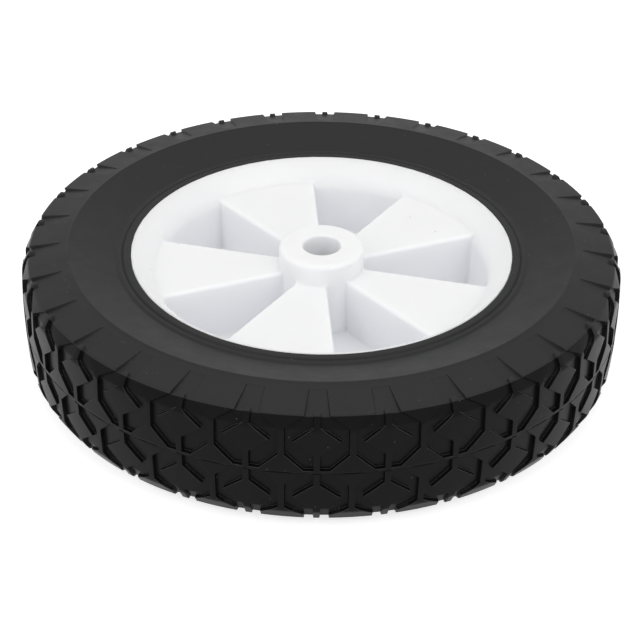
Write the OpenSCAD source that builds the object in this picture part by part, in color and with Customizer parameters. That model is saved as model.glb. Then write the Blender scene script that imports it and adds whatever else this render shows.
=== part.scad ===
// Garden cart wheel: a moulded rubber tyre gripped by a one-piece moulded plastic wheel centre.
// Z is the axle axis, and the origin is the middle of the wheel. The wheel lies on its side.

/* [Tyre] */
// Diameter over the crown of the tread
tyre_d = 203.2; // [190:0.1:230]
// Width across the crest rings of the two sidewalls
tyre_w = 43.4; // [42:0.1:52]
// Diameter of the crest ring, the widest place of a sidewall
crest_d = 172.2; // [160:0.1:175]
// Width of the small raised bead that runs round on the crest
crest_bead_w = 1.6; // [0.8:0.1:2.4]
// Height of the small raised bead on the crest
crest_bead_h = 0.3; // [0.1:0.05:0.6]
// Width of the tread between its two edges
tread_w = 38.8; // [37:0.1:42]
// How much smaller in radius the tread edge is than the crown
edge_drop = 2.9; // [2:0.1:4]
// Width of the steep strip along each tread edge
edge_strip_w = 4.3; // [3:0.1:5]
// How much smaller in radius the crown is where that strip begins
crown_drop = 0.5; // [0.2:0.05:1.5]
// Diameter at which the dished sidewall meets the bead
dish_d = 141.8; // [140.5:0.1:150]
// How far the inner end of the sidewall lies below the crest
dish_depth = 4.6; // [3:0.1:6]

/* [Tyre bead] */
// Width of the lip that lies against the rim edge
lip_w = 2.1; // [1.6:0.1:2.4]
// Width of the groove round the lip
groove_w = 0.9; // [0.6:0.1:1.2]
// Depth of that groove
groove_depth = 0.9; // [0.5:0.1:1.3]
// Bevel of the lip's edges
lip_edge = 0.4; // [0.2:0.1:0.5]
// Width of the ridge outside the groove
ridge_w = 1.1; // [0.6:0.1:1.4]
// How much lower the ridge is than the lip
ridge_drop = 0.2; // [0.1:0.05:0.4]
// Depth of the dip between the ridge and the sidewall
dip_depth = 0.3; // [0.1:0.05:0.5]
// Clearance between the tyre and the rim that it sits on
seat_clearance = 0.1; // [0.05:0.05:0.2]

/* [Tread pattern] */
// Number of times that the pattern repeats round the tyre
repeats = 30; // [28:1:32]
// Direction of the first gap between shoulder blocks
first_gap = 5.6; // [0:0.1:12]
// Depth of the floors between the raised figures
tread_depth = 1.3; // [0.8:0.1:1.8]
// Distance of the pattern's mirror plane from the middle of the tyre
pattern_shift = 1; // [0:0.1:1.5]
// Width of the narrow bars that join the diamonds
bar_w = 1.9; // [1.5:0.05:2.6]
// Width of the diamonds beside the middle, measured round the tyre
side_diamond_w = 14.2; // [12:0.1:15]
// Height of the diamonds beside the middle, measured across the tread
side_diamond_h = 9.6; // [8:0.1:10]
// Width of the diamonds on the middle
middle_diamond_w = 13.2; // [11:0.1:14.5]
// Height of the diamonds on the middle
middle_diamond_h = 11; // [9:0.1:12]
// Height of the thin bridges beside the bars on the middle
bridge_h = 0.9; // [0.5:0.1:1.5]
// Width of a shoulder block, measured round the tyre
block_w = 13; // [12:0.1:14]
// How far the straight sides of a shoulder block reach down past the tread edge
block_drop = 0.4; // [0.2:0.1:1]
// Height of the sloping foot of a shoulder block
foot_h = 3.3; // [2.5:0.1:4]
// Diameter at which the gaps between the shoulder blocks run out
gap_end_d = 176.2; // [175.6:0.1:182]
// Depth of a gap where it begins on the shoulder
gap_start_depth = 0.15; // [0.05:0.05:0.3]
// How far the rounded end of a bar reaches in over the tread edge
nub_reach = 1.7; // [1:0.1:2.5]

/* [Rim] */
// Diameter of the visible rim edge
rim_d = 130; // [127:0.1:131]
// Width across the two rim edges
rim_w = 34.8; // [33:0.1:37]
// Inside diameter of the barrel
barrel_d = 113.6; // [108:0.1:115]
// Wall of the barrel and of the web
wall = 3; // [2:0.1:4]
// Wall of the flared flange at each rim edge
flange_wall = 2.4; // [1.8:0.1:3]
// Depth of the flare, measured along the axle
flare_depth = 7.5; // [6:0.1:9]
// Rounding of the rim edge
rim_edge_r = 0.5; // [0.2:0.1:0.8]

/* [Spokes] */
// Number of raised wedges
wedges = 5; // [4:1:6]
// Angle between the lines out from the axle that the two sides of a wedge follow
wedge_angle = 36; // [30:0.5:40]
// How far each side stands outside that line, all along the wedge
wedge_side_out = 0.8; // [0:0.1:1.5]
// Direction of the first wedge
first_wedge = 40; // [0:1:72]
// Height of the wedge tops over the middle of the wheel
wedge_z = 10.2; // [8:0.1:12]
// Height of the floors between the wedges
floor_z = -9.4; // [-11:0.1:-5]
// Rounding of the long edges of the wedges
wedge_edge_r = 1; // [0.4:0.1:2]

/* [Hub] */
// Length of the hub
hub_len = 35.4; // [32:0.1:44]
// Diameter of the hub boss
hub_d = 29; // [24:0.1:34]
// Rounding of the ends of the boss
hub_edge_r = 1.6; // [0.5:0.1:2.5]
// Diameter of the axle that the hub runs on
axle_d = 12.7; // [10:0.1:16]
// Clearance of the bore over the axle, on the diameter
axle_clearance = 0.2; // [0.1:0.05:0.5]
// Rounding of the mouths of the bore
bore_edge_r = 0.7; // [0.3:0.1:1.2]

/* [Hidden] */
$fn = 180;

// Places that the two pieces share
rim_r = rim_d / 2;
rim_z = rim_w / 2;
barrel_in_r = barrel_d / 2;
barrel_out_r = barrel_in_r + wall;
flare_run = rim_r - barrel_in_r;
flare_len = sqrt(flare_run ^ 2 + flare_depth ^ 2);
// Height that the flange wall takes along the axle
flange_h = flange_wall * flare_len / flare_run;
flare_slope = flare_depth / flare_run;
// Height at which the back of the flange leaves the barrel
seat_z = rim_z - flange_h - (rim_r - barrel_out_r) * flare_slope;

// Places on the tyre
crown_r = tyre_d / 2;
edge_r = crown_r - edge_drop;
edge_z = tread_w / 2;
strip_z = edge_z - edge_strip_w;
crest_r = crest_d / 2;
crest_z = tyre_w / 2;
dish_r = dish_d / 2;
dish_z = crest_z - dish_depth;
gap_end_r = gap_end_d / 2;
pitch_angle = 360 / repeats;
crown_steps = 3;
arc_steps = 4;
// How far solids that are joined reach into each other
overlap = 1;
// How far a bridge reaches into the point of a diamond
bridge_bite = 1.5;
// How far the outer edge of the web stays inside the back of the barrel
web_edge_gap = 0.15;

// Height of the shoulder at a radius, on the straight line from the crest bead to the tread edge
function shoulder_z(r) =
    let (start_z = crest_z - crest_bead_h)
    start_z + (edge_z - start_z) * (r - crest_r) / (edge_r - crest_r);
// Radius of the crown at a height, on a parabola that falls by crown_drop at the edge strip
function crown_at(z) = crown_r - crown_drop * (z / strip_z) ^ 2;
// Points of a circular arc
function arc(centre, r, from, to, steps) =
    [for (i = [0:steps]) let (a = from + (to - from) * i / steps) centre + r * [cos(a), sin(a)]];
// The lower half of a symmetric section
function mirrored(points) = [for (i = [len(points) - 1:-1:0]) [points[i].x, -points[i].y]];

// Hub with its boss, one half of the section above the middle plane
module hub_section() {
    bore_r = (axle_d + axle_clearance) / 2;
    boss_r = hub_d / 2;
    top = hub_len / 2;
    half = concat(
        [[bore_r, 0]],
        arc([bore_r + bore_edge_r, top - bore_edge_r], bore_edge_r, 180, 90, arc_steps),
        arc([boss_r - hub_edge_r, top - hub_edge_r], hub_edge_r, 90, 0, arc_steps),
        [[boss_r, 0]]);
    polygon(concat(half, mirrored(half)));
}

// Rim barrel with a flared flange at each edge
module rim_section() {
    half = concat(
        [[barrel_in_r, 0], [barrel_in_r, rim_z - flare_depth]],
        arc([rim_r - rim_edge_r, rim_z - rim_edge_r], rim_edge_r, 130, 0, arc_steps),
        [[rim_r, rim_z - flange_h], [barrel_out_r, seat_z], [barrel_out_r, 0]]);
    polygon(concat(half, mirrored(half)));
}

// Ring with a rectangular section, between two radii and two heights
module ring(r_in, r_out, z_low, z_high) {
    rotate_extrude()
        translate([r_in, z_low])
            square([r_out - r_in, z_high - z_low]);
}

// All that lies on the inner side of a wedge's right-hand side, with its upper edge rounded
module wedge_side(z_low, z_high, inset, edge_r) {
    rotate([0, 0, -wedge_angle / 2])
        rotate([90, 0, 90])
            linear_extrude(height = barrel_out_r)
                translate([inset - wedge_side_out, 0]) {
                    translate([0, z_low])
                        square([barrel_out_r, z_high - edge_r - z_low]);
                    translate([edge_r, z_low])
                        square([barrel_out_r, z_high - z_low]);
                    translate([edge_r, z_high - edge_r])
                        circle(r = edge_r);
                }
}

// Wedge along +X between two radii and two heights, its sides moved in by inset
module wedge(r_in, r_out, z_low, z_high, inset, edge_r) {
    intersection() {
        ring(r_in, r_out, z_low, z_high);
        wedge_side(z_low - overlap, z_high, inset, edge_r);
        mirror([0, 1, 0])
            wedge_side(z_low - overlap, z_high, inset, edge_r);
    }
}

// Web of alternating raised wedges and low floors, one wall thick, joined by upright walls
module web() {
    spacing = 360 / wedges;
    back_z = floor_z - wall;
    r_in = hub_d / 2 - overlap;
    r_out = barrel_in_r + overlap;
    difference() {
        union() {
            ring(r_in - overlap, barrel_out_r - web_edge_gap, back_z, floor_z);
            for (i = [0:wedges - 1])
                rotate([0, 0, first_wedge + i * spacing])
                    wedge(r_in, r_out, floor_z - wall / 2, wedge_z, 0, wedge_edge_r);
        }
        for (i = [0:wedges - 1])
            rotate([0, 0, first_wedge + i * spacing])
                wedge(r_in - 2 * overlap, barrel_out_r, back_z - overlap, wedge_z - wall, wall,
                    wedge_edge_r / 2);
    }
}

// One-piece moulding: rim, web and hub
module wheel_centre() {
    color("white") {
        rotate_extrude() rim_section();
        web();
        rotate_extrude() hub_section();
    }
}

// Inner outline of the tyre, from the middle of its seat over the bead to the crest, upper half
function bead_points() =
    let (
        in_r = rim_r + seat_clearance,
        lip_z = rim_z,
        lip_out_r = in_r + lip_w,
        ridge_in_r = lip_out_r + groove_w,
        ridge_out_r = ridge_in_r + ridge_w,
        ridge_z = lip_z - ridge_drop,
        bead_r = (crest_bead_w ^ 2 / 4 + crest_bead_h ^ 2) / (2 * crest_bead_h),
        bead_a = asin(crest_bead_w / 2 / bead_r))
    concat(
        [[barrel_out_r + seat_clearance, 0],
         [barrel_out_r + seat_clearance, seat_z - seat_clearance],
         [in_r, rim_z - flange_h - seat_clearance],
         [in_r, lip_z - lip_edge], [in_r + lip_edge, lip_z],
         [lip_out_r - lip_edge, lip_z], [lip_out_r, lip_z - lip_edge],
         [lip_out_r + groove_w / 2, lip_z - groove_depth],
         [ridge_in_r, ridge_z], [ridge_out_r, ridge_z],
         [(ridge_out_r + dish_r) / 2, dish_z - dip_depth],
         [dish_r, dish_z]],
        arc([crest_r - crest_bead_w / 2, crest_z - bead_r], bead_r, 90 + bead_a, 90 - bead_a, arc_steps));

// Outline over the tread blocks, from the tread edge to the middle of the crown, upper half
function block_points() = concat(
    [[edge_r, edge_z]],
    [for (i = [crown_steps:-1:0]) let (z = strip_z * i / crown_steps) [crown_at(z), z]]);

// Outline on the floors between the blocks, from the shoulder to the middle of the crown
function floor_points() = concat(
    [[gap_end_r, shoulder_z(gap_end_r) - gap_start_depth],
     [edge_r - tread_depth, edge_z - tread_depth]],
    [for (i = [crown_steps:-1:0]) let (z = strip_z * i / crown_steps) [crown_at(z) - tread_depth, z]]);

// Whole ring of rubber, with its outline over the blocks all the way round
module tyre_body() {
    half = concat(bead_points(), block_points());
    rotate_extrude() polygon(concat(half, mirrored(half)));
}

// All that lies outside the floors of the tread, up to past the outline of the tyre
module recess_band() {
    half = concat(
        [[crown_r + overlap, 0], [crown_r + overlap, crest_z + overlap], [gap_end_r, crest_z + overlap]],
        floor_points());
    rotate_extrude() polygon(concat(half, mirrored(half)));
}

// Both sides and both halves of a figure, from the points of its upper right quarter
function whole_figure(quarter) =
    let (right = concat([for (i = [len(quarter) - 1:-1:0]) [quarter[i].x, -quarter[i].y]], quarter))
    concat(right, [for (i = [len(right) - 1:-1:0]) [-right[i].x, right[i].y]]);

// Prism that stands out from the axle along +X, with its outline across and round the tread
module radial_prism(r_in, points) {
    translate([r_in, 0, pattern_shift])
        rotate([90, 0, 90])
            linear_extrude(height = crown_r + overlap - r_in)
                polygon(points);
}

// Column with a diamond on each side of the middle, whose bar ends as a nub in each shoulder gap
module side_column() {
    bar = bar_w / 2;
    joint = middle_diamond_h / 2;
    nub_r = edge_r - nub_reach + bar;
    point_x = PI * crown_r / repeats - middle_diamond_w / 2;
    radial_prism(nub_r, whole_figure([
        [bar, joint], [side_diamond_w / 2, joint + side_diamond_h / 2],
        [bar, joint + side_diamond_h], [bar, tyre_w]]));
    translate([nub_r, 0, 0])
        cylinder(h = 2 * tyre_w, r = bar, center = true);
    translate([edge_r - tread_depth, -point_x - bridge_bite, 0])
        cube([edge_drop + tread_depth + overlap, 2 * (point_x + bridge_bite), bridge_h]);
}

// Column with a diamond on the middle and a block on each shoulder
module middle_column() {
    bar = bar_w / 2;
    foot_z = edge_z - pattern_shift - block_drop;
    radial_prism(gap_end_r - overlap, whole_figure([
        [middle_diamond_w / 2, 0], [bar, middle_diamond_h / 2],
        [bar, foot_z - foot_h], [block_w / 2, foot_z], [block_w / 2, tyre_w]]));
}

// One-piece moulding: a ring of rubber with recesses between the raised figures of its tread
module tyre() {
    color("dimgray")
    difference() {
        tyre_body();
        difference() {
            recess_band();
            for (i = [0:repeats - 1])
                rotate([0, 0, first_gap + i * pitch_angle])
                    side_column();
            for (i = [0:repeats - 1])
                rotate([0, 0, first_gap + (i + 0.5) * pitch_angle])
                    middle_column();
        }
    }
}

wheel_centre();
tyre();
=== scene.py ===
from math import asin, atan2, cos, degrees, hypot, pi, radians, sin, sqrt

import bmesh
import bpy
from mathutils import Matrix, Vector


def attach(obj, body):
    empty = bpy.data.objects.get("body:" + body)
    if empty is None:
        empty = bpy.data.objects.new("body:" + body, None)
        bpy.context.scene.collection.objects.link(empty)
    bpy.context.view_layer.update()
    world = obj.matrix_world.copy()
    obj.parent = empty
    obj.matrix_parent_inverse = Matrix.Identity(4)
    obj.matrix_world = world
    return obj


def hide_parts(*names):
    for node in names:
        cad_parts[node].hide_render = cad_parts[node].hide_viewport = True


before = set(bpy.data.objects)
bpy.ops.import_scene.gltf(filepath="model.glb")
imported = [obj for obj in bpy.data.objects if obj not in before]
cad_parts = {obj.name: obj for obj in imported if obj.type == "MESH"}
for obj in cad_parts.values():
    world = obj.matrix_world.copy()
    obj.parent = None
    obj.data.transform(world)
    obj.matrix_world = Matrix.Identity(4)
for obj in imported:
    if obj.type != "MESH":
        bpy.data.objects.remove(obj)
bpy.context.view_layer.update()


# Wheel centre: one moulding of natural white polyethylene. A flared rim and its barrel carry a web
# of five raised wedges with low floors between them, round a plain hub that turns on the axle.
# Sizes are in millimetres.
MM = 0.001
RIM_R, RIM_Z, LIP_W = 64.7, 17.4, 0.7
LIP_ROUND, LIP_OUTER_ROUND = 0.3, 0.25
BARREL_R, CONE_FOOT_Z, FOOT_ROUND = 56.8, 9.9, 8.0
FLANGE_Z, SEAT_R, SEAT_Z = 14.1, 59.8, 9.4
HUB_R, HUB_Z, HUB_ROUND = 14.5, 17.7, 1.6
BORE_R, BORE_ROUND = 6.45, 0.7
WALL, WEDGE_Z, FLOOR_Z = 3.0, 10.2, -9.4
BACK_Z = FLOOR_Z - WALL
WEDGES, WEDGE_ANGLE, FIRST_WEDGE = 5, 36, 40
SIDE_OUT, DRAFT, WEB_ROUND, BACK_ROUND = 0.8, 0.33, 1.0, 0.6
# Turns round the axle for one wedge and the gap after it, as (angle, steps) pairs. The steps beside
# a wall, the ring beside the rim and the cuts in wall and cone leave room for the roundings.
WEDGE_TURNS = [(5, 1), (4, 1), (18, 3), (4, 1), (5, 1)]
GAP_TURNS = [(6, 1), (24, 10), (6, 1)]
RING_W = 1.6
WALL_CUTS = [WEDGE_Z - 1.6, WEDGE_Z - 2.6, WEDGE_Z - 3.6]
CONE_CUTS = [11.9, 13.4]
# Gaps that are welded shut within a part and between parts, and the slack in picking by place. What
# lies within WEDGE_SHARE radians of a wedge's middle belongs to it.
WELD, JOINT_WELD, SLACK = 0.004, 0.01, 0.1
WEDGE_SHARE = 0.5


def linear(hex_colour):
    """Linear RGBA of an sRGB hex colour."""
    parts = [int(hex_colour[i:i + 2], 16) / 255 for i in (0, 2, 4)]
    return [c / 12.92 if c <= 0.04045 else ((c + 0.055) / 1.055) ** 2.4 for c in parts] + [1]


def add_node(tree, kind, settings=(), links=()):
    """Add a node. settings are (property or input, value) pairs, links (input, node, output)."""
    node = tree.nodes.new(kind)
    for key, value in settings:
        if isinstance(key, str) and hasattr(node, key):
            setattr(node, key, value)
        else:
            node.inputs[key].default_value = value
    for key, source, output in links:
        tree.links.new(source.outputs[output], node.inputs[key])
    return node


def turned(points, rounded=(), turns=((360, 180),), start=0.0):
    """Open (radius, height) profile turned round the axle. rounded maps point numbers to radii."""
    part = bmesh.new()
    verts = [part.verts.new((r, 0, z)) for r, z in points]
    for pair in zip(verts, verts[1:]):
        part.edges.new(pair)
    rounded = dict(rounded)
    for radius in sorted(set(rounded.values())):
        corners = [verts[n] for n in rounded if rounded[n] == radius]
        bmesh.ops.bevel(part, geom=corners, affect="VERTICES", offset=radius, segments=4,
                        offset_type="OFFSET", profile=0.5, material=-1)
    bmesh.ops.rotate(part, verts=part.verts, matrix=Matrix.Rotation(radians(start), 3, "Z"))
    edge_loop = part.verts[:] + part.edges[:]
    for angle, steps in turns:
        edge_loop = bmesh.ops.spin(part, geom=edge_loop, axis=(0, 0, 1), angle=radians(angle),
                                   steps=steps, use_merge=angle == 360)["geom_last"]
    bmesh.ops.remove_doubles(part, verts=part.verts, dist=WELD)
    return part


def add_part(bm, part):
    """Move all of one bmesh into another."""
    carrier = bpy.data.meshes.new("carrier")
    part.to_mesh(carrier)
    part.free()
    bm.from_mesh(carrier)
    bpy.data.meshes.remove(carrier)


def all_of(bm):
    """Everything in a bmesh, for the operators that want points, edges and faces."""
    return bm.verts[:] + bm.edges[:] + bm.faces[:]


def with_outline(faces):
    """Faces with their edges and corners, in a fixed order."""
    edges = dict.fromkeys(e for f in faces for e in f.edges)
    corners = dict.fromkeys(v for f in faces for v in f.verts)
    return faces + list(edges) + list(corners)


def round_edges(bm, edges, width, segments):
    """Round edges with a true arc, and give the new faces."""
    return bmesh.ops.bevel(bm, geom=edges, affect="EDGES", offset=width, offset_type="OFFSET",
                           segments=segments, profile=0.5, material=-1, clamp_overlap=True)["faces"]


def finish_piece(name, bm):
    """Weld a mesh in millimetres, bring it to metres, shade it, and give its object."""
    bmesh.ops.remove_doubles(bm, verts=bm.verts, dist=WELD)
    bmesh.ops.recalc_face_normals(bm, faces=bm.faces)
    bmesh.ops.scale(bm, vec=(MM, MM, MM), verts=bm.verts)
    mesh = bpy.data.meshes.new(name)
    bm.to_mesh(mesh)
    bm.free()
    mesh.shade_smooth()
    mesh.set_sharp_from_angle(angle=radians(50))
    piece = bpy.data.objects.new(name, mesh)
    bpy.context.collection.objects.link(piece)
    even = piece.modifiers.new("even_shading", "WEIGHTED_NORMAL")
    even.keep_sharp = True
    return piece


def reach(place):
    """Distance of a place from the axle."""
    return hypot(place.x, place.y)


def off_wedge(place):
    """Angle of a place from the middle of the nearest wedge, in degrees."""
    spacing = 360 / WEDGES
    return (degrees(atan2(place.y, place.x)) - FIRST_WEDGE + spacing / 2) % spacing - spacing / 2


def into_wedge(number, side):
    """Level direction that points into a wedge, square to one of its two sides."""
    turn = radians(FIRST_WEDGE + number * 360 / WEDGES + side * WEDGE_ANGLE / 2)
    return Vector((sin(turn), -cos(turn), 0)) * side


def move_sides_out(bm):
    """Turn the wedges' sides away from the radial lines by SIDE_OUT. Wedge and gap take it up evenly."""
    wedge_inner, gap_inner = WEDGE_ANGLE / 2 - WEDGE_TURNS[0][0], GAP_TURNS[1][0] / 2
    for v in bm.verts:
        off = off_wedge(v.co)
        share = min(abs(off) / wedge_inner, 1, (180 / WEDGES - abs(off)) / gap_inner)
        turn = share * asin(SIDE_OUT / min(max(reach(v.co), HUB_R), top_r))
        v.co.rotate(Matrix.Rotation(turn if off > 0 else -turn, 3, "Z"))


def flare_r(z):
    """Radius of the rim's inner face: the straight barrel, a soft arc, and the cone to the lip."""
    slope = (RIM_R - LIP_W - BARREL_R) / (RIM_Z - CONE_FOOT_Z)
    turn = atan2(slope, 1)
    foot = FOOT_ROUND * sin(turn / 2) / cos(turn / 2)
    if z < CONE_FOOT_Z - foot:
        return BARREL_R
    if z > CONE_FOOT_Z + foot * cos(turn):
        return BARREL_R + (z - CONE_FOOT_Z) * slope
    return BARREL_R + FOOT_ROUND - sqrt(FOOT_ROUND ** 2 - (z - CONE_FOOT_Z + foot) ** 2)


def sharp_edges(bm, angle, lowest, highest):
    """Edges of the web that turn by more than an angle, between two heights."""
    found = []
    for e in bm.edges:
        middle = (e.verts[0].co + e.verts[1].co) / 2
        if (e.is_manifold and HUB_R - SLACK < reach(middle) < SEAT_R - SLACK
                and lowest - SLACK < middle.z < highest + SLACK
                and e.calc_face_angle() > radians(angle)):
            found.append(e)
    return found


web_turns = (WEDGE_TURNS + GAP_TURNS) * WEDGES
web_start = FIRST_WEDGE - WEDGE_ANGLE / 2
top_r = flare_r(WEDGE_Z)
ring_r = top_r - RING_W
# Front of the web: a ring at wedge height, in which the five gaps are sunk to their floors. Their
# ends are then laid on the barrel and the cone.
bm = turned([(HUB_R, WEDGE_Z), (ring_r, WEDGE_Z), (top_r, WEDGE_Z)], turns=web_turns, start=web_start)
bmesh.ops.reverse_faces(bm, faces=[f for f in bm.faces if f.normal.z < 0])
gaps = [f for f in bm.faces if abs(off_wedge(f.calc_center_median())) > WEDGE_ANGLE / 2]
bmesh.ops.inset_region(bm, faces=gaps, thickness=DRAFT, depth=FLOOR_Z - WEDGE_Z,
                       use_boundary=True, use_even_offset=True)
bm.normal_update()
flat_seams = [e for e in bm.edges if e.is_manifold and e.calc_face_angle() < radians(1)
              and all(f.calc_center_median().z < WEDGE_Z - SLACK for f in e.link_faces)]
bmesh.ops.dissolve_edges(bm, edges=flat_seams, use_verts=True)
for z in WALL_CUTS:
    bmesh.ops.bisect_plane(bm, geom=all_of(bm), plane_co=(0, 0, z), plane_no=(0, 0, 1), dist=0.001)
for v in bm.verts:
    if reach(v.co) > (ring_r + top_r) / 2 and v.co.z < WEDGE_Z - SLACK:
        wall_r = flare_r(v.co.z) - DRAFT * max(WALL_CUTS[-1] - v.co.z, 0) / (WEDGE_Z - FLOOR_Z)
        v.co.xy *= wall_r / reach(v.co)
# Flared rim and barrel, then the hub with its bore, turned in the same steps
rim = [(top_r, WEDGE_Z)] + [(flare_r(z), z) for z in CONE_CUTS]
rim += [(RIM_R - LIP_W, RIM_Z), (RIM_R, RIM_Z), (RIM_R, FLANGE_Z), (SEAT_R, SEAT_Z)]
rim += [(SEAT_R, -SEAT_Z), (RIM_R, -FLANGE_Z), (RIM_R, -RIM_Z), (RIM_R - LIP_W, -RIM_Z)]
rim += [(flare_r(-BACK_Z), BACK_Z)]
lip_rounds = [(3, LIP_ROUND), (4, LIP_OUTER_ROUND), (9, LIP_OUTER_ROUND), (10, LIP_ROUND)]
add_part(bm, turned(rim, rounded=lip_rounds, turns=web_turns, start=web_start))
hub = [(HUB_R, WEDGE_Z), (HUB_R, HUB_Z), (BORE_R, HUB_Z)]
hub += [(BORE_R, -HUB_Z), (HUB_R, -HUB_Z), (HUB_R, BACK_Z)]
hub_rounds = [(1, HUB_ROUND), (2, BORE_ROUND), (3, BORE_ROUND), (4, HUB_ROUND)]
add_part(bm, turned(hub, rounded=hub_rounds, turns=web_turns, start=web_start))
bmesh.ops.remove_doubles(bm, verts=bm.verts, dist=JOINT_WELD)
move_sides_out(bm)
bmesh.ops.recalc_face_normals(bm, faces=bm.faces)
round_edges(bm, sharp_edges(bm, 50, FLOOR_Z, WEDGE_Z), WEB_ROUND, 3)
# Back of the web: a second ring, from which the wedges are hollowed one wall thick
back = turned([(HUB_R, BACK_Z), (BARREL_R, BACK_Z), (flare_r(-BACK_Z), BACK_Z)],
              turns=web_turns, start=web_start)
move_sides_out(back)
inner_face = WALL - SIDE_OUT
bmesh.ops.reverse_faces(back, faces=[f for f in back.faces if f.normal.z > 0])
for number in range(WEDGES):
    middle = radians(FIRST_WEDGE + number * 360 / WEDGES)
    middle = Vector((cos(middle), sin(middle)))
    walls = [into_wedge(number, side) for side in (-1, 1)]
    for into in walls:
        near = [f for f in back.faces if f.calc_center_median().xy.angle(middle) < WEDGE_SHARE]
        bmesh.ops.bisect_plane(back, geom=with_outline(near), plane_co=into * inner_face,
                               plane_no=into, dist=0.001)
        rims = [e for e in bm.edges if all(abs(v.co.z - BACK_Z) < JOINT_WELD for v in e.verts)
                and (e.verts[0].co + e.verts[1].co).xy.angle(middle) < WEDGE_SHARE]
        bmesh.ops.bisect_plane(bm, geom=rims, plane_co=into * inner_face, plane_no=into, dist=0.001)
    inside = [f for f in back.faces if reach(f.calc_center_median()) < BARREL_R
              and all(v.co.dot(into) > inner_face - JOINT_WELD for v in f.verts for into in walls)]
    foot = {v for f in inside for v in f.verts if reach(v.co) > BARREL_R - SLACK / 2
            and all(v.co.dot(into) > inner_face + SLACK / 2 for into in walls)}
    bmesh.ops.inset_region(back, faces=inside, thickness=DRAFT, depth=BACK_Z + WALL - WEDGE_Z,
                           use_boundary=True, use_even_offset=True)
    for v in foot:
        v.co.z = -CONE_FOOT_Z
add_part(bm, back)
bmesh.ops.remove_doubles(bm, verts=bm.verts, dist=JOINT_WELD)
bmesh.ops.recalc_face_normals(bm, faces=bm.faces)
round_edges(bm, sharp_edges(bm, 60, BACK_Z, WEDGE_Z - WALL), BACK_ROUND, 2)
wheel_centre = finish_piece("wheel_centre_moulding", bm)

# Light enters this plastic a few millimetres before it comes out again, so edges and hollows look
# soft and milky. The mould's faint unevenness breaks up the sheen, and a few dark specks half a
# millimetre wide are moulded in.
SPECK_SPACING, SPECK_R = 9, 0.27
white_plastic = bpy.data.materials.new("moulded_natural_polyethylene")
white_plastic.use_nodes = True
tree = white_plastic.node_tree
shader = tree.nodes["Principled BSDF"]
place = add_node(tree, "ShaderNodeTexCoord")
clouds = add_node(tree, "ShaderNodeTexNoise", [("Scale", 1 / (11 * MM)), ("Detail", 3.0)],
                  [("Vector", place, "Object")])
milk = add_node(tree, "ShaderNodeMix",
                [("data_type", "RGBA"), (6, linear("F6F7FD")), (7, linear("F9FAFC"))],
                [("Factor", clouds, "Fac")])
spots = add_node(tree, "ShaderNodeTexVoronoi",
                 [("Scale", 1 / (SPECK_SPACING * MM)), ("Randomness", 1.0)],
                 [("Vector", place, "Object")])
speck = add_node(tree, "ShaderNodeMapRange",
                 [("From Min", SPECK_R / SPECK_SPACING), ("From Max", SPECK_R / SPECK_SPACING / 2)],
                 [("Value", spots, "Distance")])
colour = add_node(tree, "ShaderNodeMix", [("data_type", "RGBA"), (7, linear("8A8A90"))],
                  [("Factor", speck, "Result"), (6, milk, 2)])
tree.links.new(colour.outputs[2], shader.inputs["Base Color"])
sheen = add_node(tree, "ShaderNodeMapRange", [("To Min", 0.36), ("To Max", 0.5)],
                 [("Value", clouds, "Fac")])
tree.links.new(sheen.outputs["Result"], shader.inputs["Roughness"])
uneven = add_node(tree, "ShaderNodeTexNoise", [("Scale", 1 / (4 * MM)), ("Detail", 2.0)],
                  [("Vector", place, "Object")])
relief = add_node(tree, "ShaderNodeBump", [("Strength", 0.3), ("Distance", 0.04 * MM)],
                  [("Height", uneven, "Fac")])
tree.links.new(relief.outputs["Normal"], shader.inputs["Normal"])
shader.inputs["IOR"].default_value = 1.5
shader.inputs["Subsurface Weight"].default_value = 1.0
shader.inputs["Subsurface Radius"].default_value = (1.0, 1.0, 1.0)
shader.inputs["Subsurface Scale"].default_value = 2 * MM
wheel_centre.data.materials.append(white_plastic)
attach(wheel_centre, "root")
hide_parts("wheel_centre")


# Tyre: one moulding of black rubber, stretched over the rim. Its tread is a net of raised diamonds
# and bars, repeated thirty times; blocks on both shoulders are parted by sloping gaps.
CROWN_R, CROWN_DROP, STRIP_Z, STRIP_ROUND = 101.6, 0.5, 15.1, 3.0
EDGE_R, EDGE_Z, EDGE_ROUND = 98.7, 19.4, 1.2
CREST_R, CREST_Z, CREST_BEAD_W, CREST_BEAD_H = 86.1, 21.7, 1.6, 0.3
REPEATS, FIRST_GAP, SHIFT = 30, 5.6, 1.0
# Depth of a recess on the tread, at the shoulder edge and where its gap runs out on the shoulder
TREAD_DEPTH, EDGE_DEPTH, GAP_END_DEPTH = 1.3, 0.9, 0.15
GAP_END_R, NUB_REACH = 88.1, 1.7
BAR_W, SIDE_DIAMOND_W, MIDDLE_DIAMOND_W, BLOCK_W = 1.9, 14.2, 13.2, 13.0
JOINT_Z, SIDE_POINT_Z, NECK_Z, FOOT_Z, BRIDGE_H = 6.5, 11.3, 16.1, 15.7, 0.9
BLOCK_FOOT_R, BLOCK_FOOT_Z = 98.9, 19.0
RECESS_DRAFT, TREAD_ROUND = 0.2, 0.28
SEAM_W, SEAM_DEPTH = 0.5, 0.35
HALF_PITCH = CROWN_R * pi / REPEATS
# Half a repeat is divided into CUTS strips, so that it bends round the tyre. A cut closer than SNAP
# to a point goes through it.
CUTS, SNAP = 3, 0.02
# Ridge, groove and lip of the bead and the seat behind them as (radius, height), then the roundings
SEAT_END = (59.9, 9.3)
RIM_BEAD = [(70.9, 17.1), (70.05, 16.8), (69.2, 17.2), (68.1, 17.2), (67.65, 16.8), (67.2, 17.4),
            (64.8, 17.4), (64.8, 14.0), SEAT_END]
RIM_BEAD_ROUNDS = [0.5, 0.4, 0.3, 0.25, 0.2, 0.35, 0.25]


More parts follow.
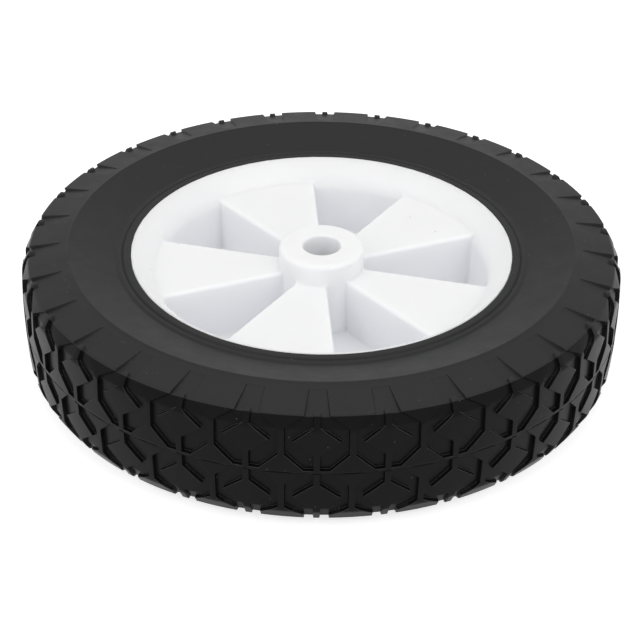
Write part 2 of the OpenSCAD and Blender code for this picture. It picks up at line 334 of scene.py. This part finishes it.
def rounded_path(points, radii, steps):
    """Points of a path whose inner corners are replaced by arcs of the given radii."""
    path = [Vector(points[0])]
    for before, corner, after, radius in zip(points, points[1:], points[2:], radii):
        corner = Vector(corner)
        one, two = (Vector(before) - corner).normalized(), (Vector(after) - corner).normalized()
        if not radius:
            path.append(corner)
            continue
        half = one.angle(two) / 2
        centre = corner + (one + two).normalized() * radius / sin(half)
        cut_off = radius * cos(half) / sin(half)
        first, last = corner + one * cut_off, corner + two * cut_off
        for i in range(steps + 1):
            spoke = (first - centre).lerp(last - centre, i / steps).normalized() * radius
            path.append(centre + spoke)
    path.append(Vector(points[-1]))
    return path


# Half of the tyre's outline, from the middle of the crown over the strip and the shoulder edge to the
# crest, with the length from the middle at each of its points
crown = [(CROWN_R - CROWN_DROP * (i / 4) ** 2, STRIP_Z * i / 4) for i in range(5)]
shoulder_end = (CREST_R, CREST_Z - CREST_BEAD_H)
outline = rounded_path(crown + [(EDGE_R, EDGE_Z), shoulder_end], [0, 0, 0, STRIP_ROUND, EDGE_ROUND], 4)
lengths = [0.0]
for one, two in zip(outline, outline[1:]):
    lengths.append(lengths[-1] + (two - one).length)


def along(r, z):
    """Length along the outline, from the middle of the crown, of the place nearest to (r, z)."""
    found = []
    place = Vector((r, abs(z)))
    for start, one, two in zip(lengths, outline, outline[1:]):
        step = two - one
        share = min(max((place - one).dot(step) / step.length_squared, 0), 1)
        found.append(((one + step * share - place).length, start + step.length * share))
    return min(found)[1] if z >= 0 else -min(found)[1]


def crown_along(z):
    """Length along the outline at a height on the crown or the strip beside it."""
    z_in = abs(z)
    r = CROWN_R - CROWN_DROP * (z_in / STRIP_Z) ** 2
    if z_in > STRIP_Z:
        r += (z_in - STRIP_Z) * (EDGE_R - (CROWN_R - CROWN_DROP)) / (EDGE_Z - STRIP_Z)
    return along(r, z)


def shoulder_along(r):
    """Length along the outline at a radius on the sloping shoulder."""
    slope = (CREST_Z - CREST_BEAD_H - EDGE_Z) / (EDGE_R - CREST_R)
    return along(r, EDGE_Z + (EDGE_R - r) * slope)


def pattern_along(z, side):
    """Length along the outline at a height in the pattern, which is mirrored about its own middle."""
    return crown_along(SHIFT + side * (z - SHIFT))


def flat_polygon(bm, points):
    """One face on the flat sheet."""
    bm.faces.new([bm.verts.new((x, y, 0)) for x, y in points])


def gap_side(r):
    """Half the width of a shoulder gap at a radius, measured on the flat sheet."""
    return HALF_PITCH - CROWN_R * asin(BLOCK_W / 2 / r)


# Half of one repeat, laid flat: x runs round the tyre and y across it. The recess lies between a bar,
# the tips of the diamonds and the shoulder blocks, and ends in the gap between two blocks.
bar, side_point = BAR_W / 2, SIDE_DIAMOND_W / 2
far_bar, middle_point = HALF_PITCH - BAR_W / 2, HALF_PITCH - MIDDLE_DIAMOND_W / 2
slope = (far_bar - middle_point) / (JOINT_Z - SHIFT)
strip_y, edge_y, nub_y = crown_along(STRIP_Z), shoulder_along(EDGE_R), shoulder_along(EDGE_R - NUB_REACH)
gap_y, end_y = shoulder_along(GAP_END_R), lengths[-1]
bm = bmesh.new()
for side in (1, -1):
    joint, point, neck, foot, block_foot = [pattern_along(z, side) for z in
                                            (JOINT_Z, SIDE_POINT_Z, NECK_Z, FOOT_Z, BLOCK_FOOT_Z)]
    bridge = BRIDGE_H if side > 0 else 0.0
    near_side = [(bar, bridge), (bar, joint), (side_point, point), (bar, neck)]
    nub = [(bar * cos(a * pi / 8), side * (nub_y - bar + bar * sin(a * pi / 8))) for a in range(5)]
    gap = [(0, side * gap_y), (gap_side(GAP_END_R), side * gap_y), (gap_side(EDGE_R), side * edge_y)]
    far_side = [(gap_side(BLOCK_FOOT_R), block_foot), (far_bar, foot), (far_bar, joint)]
    if side > 0:
        far_side += [(middle_point, SHIFT)]
    far_side += [(middle_point + slope * (SHIFT - bridge), bridge)]
    flat_polygon(bm, near_side + nub + gap + far_side)
    flat_polygon(bm, [(0, bridge)] + near_side + nub)
    flat_polygon(bm, [(HALF_PITCH, bridge), (HALF_PITCH, side * end_y), (0, side * end_y)] + gap + far_side)
# The bridge of rubber that joins bars and diamonds along the middle
low, high = middle_point + slope * SHIFT, middle_point + slope * (SHIFT - BRIDGE_H)
flat_polygon(bm, [(0, 0), (bar, 0), (bar, BRIDGE_H), (0, BRIDGE_H)])
flat_polygon(bm, [(bar, 0), (low, 0), (high, BRIDGE_H), (bar, BRIDGE_H)])
flat_polygon(bm, [(HALF_PITCH, 0), (low, 0), (high, BRIDGE_H), (HALF_PITCH, BRIDGE_H)])
bmesh.ops.remove_doubles(bm, verts=bm.verts, dist=0.001)
bmesh.ops.reverse_faces(bm, faces=[f for f in bm.faces if f.normal.z < 0])
bmesh.ops.mirror(bm, geom=all_of(bm), axis="X", merge_dist=0.001)
bm.normal_update()
bmesh.ops.reverse_faces(bm, faces=[f for f in bm.faces if f.normal.z < 0])
bm.normal_update()


def is_recess(f):
    """Whether a flat face is a recess: only those have many corners and end in a gap."""
    inside = max(abs(v.co.x) for v in f.verts) < HALF_PITCH - JOINT_WELD
    in_gap = max(abs(v.co.y) for v in f.verts) > edge_y + BAR_W / 2
    return inside and in_gap and len(f.verts) > 12


def recess_share(length):
    """How much of the tread's depth a recess keeps at a length from the middle of the crown."""
    strip = min(max((length - strip_y) / (edge_y - strip_y), 0), 1)
    shoulder = min(max((length - edge_y) / (gap_y - edge_y), 0), 1)
    return ((1 + strip * (EDGE_DEPTH / TREAD_DEPTH - 1))
            * (1 + shoulder * (GAP_END_DEPTH / EDGE_DEPTH - 1)))


recesses = [f for f in bm.faces if is_recess(f)]
bmesh.ops.inset_region(bm, faces=recesses, thickness=RECESS_DRAFT, depth=-TREAD_DEPTH, use_even_offset=True)
rims = [e for e in bm.edges if e.is_manifold and e.calc_face_angle() > radians(20)]
arrises = round_edges(bm, rims, TREAD_ROUND, 2)
# The arrises of the tread that face up are painted paler: a painted highlight where light from above
# catches them
SIDE_RUBBER, TREAD_RUBBER, PAINTED_HIGHLIGHT_RUBBER = 0, 1, 2
bm.normal_update()
for f in arrises:
    on_tread = abs(f.calc_center_median().y) < crown_along(FOOT_Z)
    painted_highlight = on_tread and f.normal.y > 0.25 and f.normal.z > 0.3
    f.material_index = PAINTED_HIGHLIGHT_RUBBER if painted_highlight else SIDE_RUBBER
for i in range(1 - CUTS, CUTS):
    bmesh.ops.bisect_plane(bm, geom=all_of(bm), plane_co=(i * HALF_PITCH / CUTS, 0, 0),
                           plane_no=(1, 0, 0), dist=SNAP)
for y in [-l for l in lengths[:-1]] + lengths[1:-1] + [SEAM_W / 2, -SEAM_W / 2]:
    bmesh.ops.bisect_plane(bm, geom=all_of(bm), plane_co=(0, y, 0), plane_no=(0, 1, 0), dist=SNAP)
# The sheet is laid on the outline and bent round the axle, and the mould seam sunk along its middle
for v in bm.verts:
    around, across, depth = v.co
    length = abs(across)
    depth *= recess_share(length)
    if length < SNAP and depth > -SNAP:
        depth = -SEAM_DEPTH
    n = max(i for i in range(len(lengths) - 1) if lengths[i] <= length + SNAP)
    step = outline[n + 1] - outline[n]
    place = outline[n] + step * (length - lengths[n]) / step.length
    if n and abs(length - lengths[n]) < 1.5 * SNAP:
        step = step.normalized() + (outline[n] - outline[n - 1]).normalized()
    outward = Vector((step.y, -step.x)).normalized()
    if length < 1.5 * SNAP:
        outward = Vector((1, 0))
    place += outward * depth
    turn = radians(FIRST_GAP) + around / CROWN_R
    v.co = (place.x * cos(turn), place.x * sin(turn), place.y if across >= 0 else -place.y)
bmesh.ops.spin(bm, geom=all_of(bm), axis=(0, 0, 1), angle=radians(360 / REPEATS * (REPEATS - 1)),
               steps=REPEATS - 1, use_duplicate=True)
# Sidewalls with the small bead on the crest, the beads at the rim, and the seat
sidewall = [(CREST_R - CREST_BEAD_W * i / 4, CREST_Z - CREST_BEAD_H * drop)
            for i, drop in enumerate((1, 0.2, 0, 0.2, 1))]
rounding = list(enumerate(RIM_BEAD_ROUNDS, len(sidewall)))
sidewall += RIM_BEAD
add_part(bm, turned(sidewall, rounded=rounding, start=FIRST_GAP))
add_part(bm, turned([(r, -z) for r, z in sidewall], rounded=rounding, start=FIRST_GAP))
add_part(bm, turned([SEAT_END, (SEAT_END[0], -SEAT_END[1])], start=FIRST_GAP))
tyre = finish_piece("tyre_moulding", bm)

# Carbon-black rubber is nearly black, so its tone comes from a weak dull sheen. A grain from the
# mould, drawn half a millimetre coarse so that it shows, cloudy bloom and pale dust specks keep it
# from looking like flat paint. The polished sides of the mould leave a stronger sheen on the
# sidewalls than on the faces of the tread.
DUST_SPACING, DUST_R, DUST_CORE_R = 4, 0.18, 0.08


def moulded_rubber(name, ior, smoothest, roughest, darkest, palest):
    """Black rubber with the sheen that its place in the mould gives it."""
    rubber = bpy.data.materials.new(name)
    rubber.use_nodes = True
    tree = rubber.node_tree
    shader = tree.nodes["Principled BSDF"]
    place = add_node(tree, "ShaderNodeTexCoord")
    bloom = add_node(tree, "ShaderNodeTexNoise",
                     [("Scale", 1 / (7 * MM)), ("Detail", 4.0), ("Roughness", 0.6)],
                     [("Vector", place, "Object")])
    black = add_node(tree, "ShaderNodeMix",
                     [("data_type", "RGBA"), (6, linear(darkest)), (7, linear(palest))],
                     [("Factor", bloom, "Fac")])
    dots = add_node(tree, "ShaderNodeTexVoronoi", [("Scale", 1 / (DUST_SPACING * MM)), ("Randomness", 1.0)],
                    [("Vector", place, "Object")])
    dust = add_node(tree, "ShaderNodeMapRange",
                    [("From Min", DUST_R / DUST_SPACING), ("From Max", DUST_CORE_R / DUST_SPACING)],
                    [("Value", dots, "Distance")])
    colour = add_node(tree, "ShaderNodeMix", [("data_type", "RGBA"), (7, linear("6E6E70"))],
                      [("Factor", dust, "Result"), (6, black, 2)])
    tree.links.new(colour.outputs[2], shader.inputs["Base Color"])
    sheen = add_node(tree, "ShaderNodeMapRange", [("To Min", smoothest), ("To Max", roughest)],
                     [("Value", bloom, "Fac")])
    tree.links.new(sheen.outputs["Result"], shader.inputs["Roughness"])
    grain = add_node(tree, "ShaderNodeTexNoise", [("Scale", 1 / (0.5 * MM)), ("Detail", 2.0)],
                     [("Vector", place, "Object")])
    relief = add_node(tree, "ShaderNodeBump", [("Strength", 0.4), ("Distance", 0.03 * MM)],
                      [("Height", grain, "Fac")])
    tree.links.new(relief.outputs["Normal"], shader.inputs["Normal"])
    shader.inputs["IOR"].default_value = ior
    return rubber


# The last finish is a painted highlight: pale grey rubber for the tread's upward-facing arrises, where
# light from above catches them
for finish in (("moulded_black_rubber", 1.44, 0.42, 0.62, "0C0C0D", "131315"),
               ("dull_black_tread_rubber", 1.18, 0.26, 0.4, "0C0C0D", "131315"),
               ("painted_highlight_rubber_edge", 1.3, 0.4, 0.6, "3A3A3B", "4C4C4D")):
    tyre.data.materials.append(moulded_rubber(*finish))
for f in tyre.data.polygons:
    on_crown = reach(f.center) > (EDGE_R + SLACK) * MM
    in_recess = (reach(f.center) > CREST_R * MM
                 and abs(f.center.z) < (EDGE_Z - TREAD_DEPTH + SLACK) * MM)
    if f.material_index == SIDE_RUBBER and (on_crown or in_recess):
        f.material_index = TREAD_RUBBER
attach(tyre, "root")
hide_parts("tyre")


# Studio: a plain white floor that the camera sees as pure white, and wide soft lamps
floor_mesh = bpy.data.meshes.new("floor")
bm = bmesh.new()
bmesh.ops.create_grid(bm, x_segments=1, y_segments=1, size=3)
bmesh.ops.translate(bm, verts=bm.verts, vec=(0, 0, -CREST_Z * MM - 0.0002))
bm.to_mesh(floor_mesh)
bm.free()
floor = bpy.data.objects.new("floor", floor_mesh)
bpy.context.collection.objects.link(floor)
white_floor = bpy.data.materials.new("white_studio_floor")
white_floor.use_nodes = True
tree = white_floor.node_tree
tree.nodes.clear()
diffuse = add_node(tree, "ShaderNodeBsdfDiffuse", [("Color", linear("CDCDCD"))])
glow = add_node(tree, "ShaderNodeEmission", [("Strength", 0.7)])
path = add_node(tree, "ShaderNodeLightPath")
mirrored = add_node(tree, "ShaderNodeMath", [("operation", "MAXIMUM")],
                    [(0, path, "Is Glossy Ray"), (1, path, "Is Transmission Ray")])
shown = add_node(tree, "ShaderNodeMath", [("operation", "MAXIMUM")],
                 [(0, path, "Is Camera Ray"), (1, mirrored, "Value")])
lit = add_node(tree, "ShaderNodeAddShader", links=[(0, diffuse, 0), (1, glow, 0)])
seen = add_node(tree, "ShaderNodeMixShader", links=[("Fac", shown, "Value"), (1, diffuse, 0), (2, lit, 0)])
add_node(tree, "ShaderNodeOutputMaterial", links=[("Surface", seen, 0)])
floor_mesh.materials.append(white_floor)

# A white room, brighter round its walls than overhead
world = bpy.data.worlds.new("studio")
bpy.context.scene.world = world
world.use_nodes = True
tree = world.node_tree
room = tree.nodes["Background"]
place = add_node(tree, "ShaderNodeTexCoord")
axes = add_node(tree, "ShaderNodeSeparateXYZ", links=[("Vector", place, "Generated")])
brightness = add_node(tree, "ShaderNodeMapRange",
                      [("From Min", 0.0), ("From Max", 1.0), ("To Min", 0.98), ("To Max", 0.56)],
                      [("Value", axes, "Z")])
tree.links.new(brightness.outputs["Result"], room.inputs["Strength"])
room.inputs["Color"].default_value = (1, 1, 1, 1)


def soft_lamp(name, place, size, power):
    """Square area lamp that looks at the wheel."""
    lamp = bpy.data.objects.new(name, bpy.data.lights.new(name, "AREA"))
    lamp.data.size = size
    lamp.data.energy = power
    lamp.location = place
    lamp.rotation_euler = Vector(place).to_track_quat("Z", "Y").to_euler()
    bpy.context.collection.objects.link(lamp)


soft_lamp("overhead", (0.0, 0.1, 0.95), 0.7, 1.3)
soft_lamp("front_left", (-0.6, -0.5, 0.7), 0.6, 1.6)
soft_lamp("front_right", (0.6, -0.5, 0.7), 0.6, 1.6)

# The camera stands where the photograph was taken from, as fitted to the rim and the tyre
camera_data = bpy.data.cameras.new("camera")
camera_data.sensor_width = 36
camera_data.lens = 90.0162
camera = bpy.data.objects.new("camera", camera_data)
camera.location = (0, -0.468314, 0.297962)
camera.rotation_euler = (radians(56.41010), radians(-0.51732), radians(0.37737))
bpy.context.collection.objects.link(camera)
bpy.context.scene.camera = camera
bpy.context.scene.view_settings.view_transform = "Standard"
